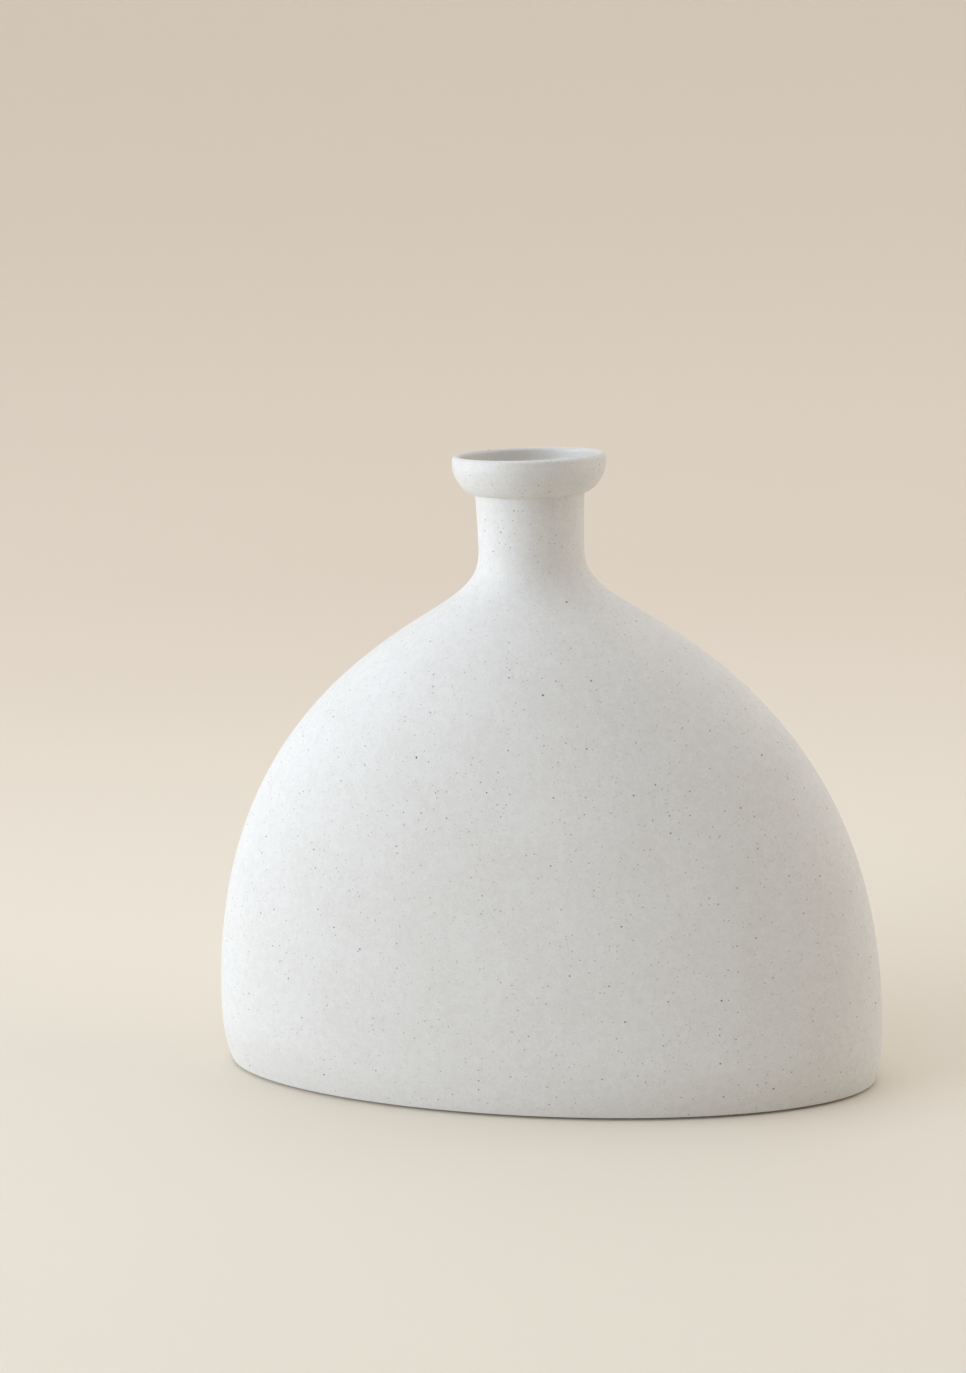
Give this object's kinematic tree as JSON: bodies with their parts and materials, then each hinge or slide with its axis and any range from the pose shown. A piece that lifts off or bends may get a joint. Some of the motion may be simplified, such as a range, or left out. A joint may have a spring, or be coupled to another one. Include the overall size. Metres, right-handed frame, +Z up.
{
  "type": "flattened bottle vase",
  "caption": "Flattened moon-shaped stoneware bottle vase with a short round neck, a cupped rim collar and a flat foot ring to stand on.",
  "frame": {"origin": "on the table, under the middle of the base", "axes": "+Z up through the neck, X along the broad side, +Y towards the back"},
  "size_m": [0.271, 0.12, 0.25],
  "materials": {
    "speckled_stoneware": "matte fine-grained off-white stoneware with sparse dark specks",
    "satin_rim": "the same speckled stoneware, smoothed to a soft satin at the lip"
  },
  "bodies": {
    "root": {"base_slab": "speckled_stoneware", "front_wall": "speckled_stoneware", "back_wall": "speckled_stoneware", "neck": "speckled_stoneware", "rim_collar": "satin_rim"}
  },
  "joints": []
}
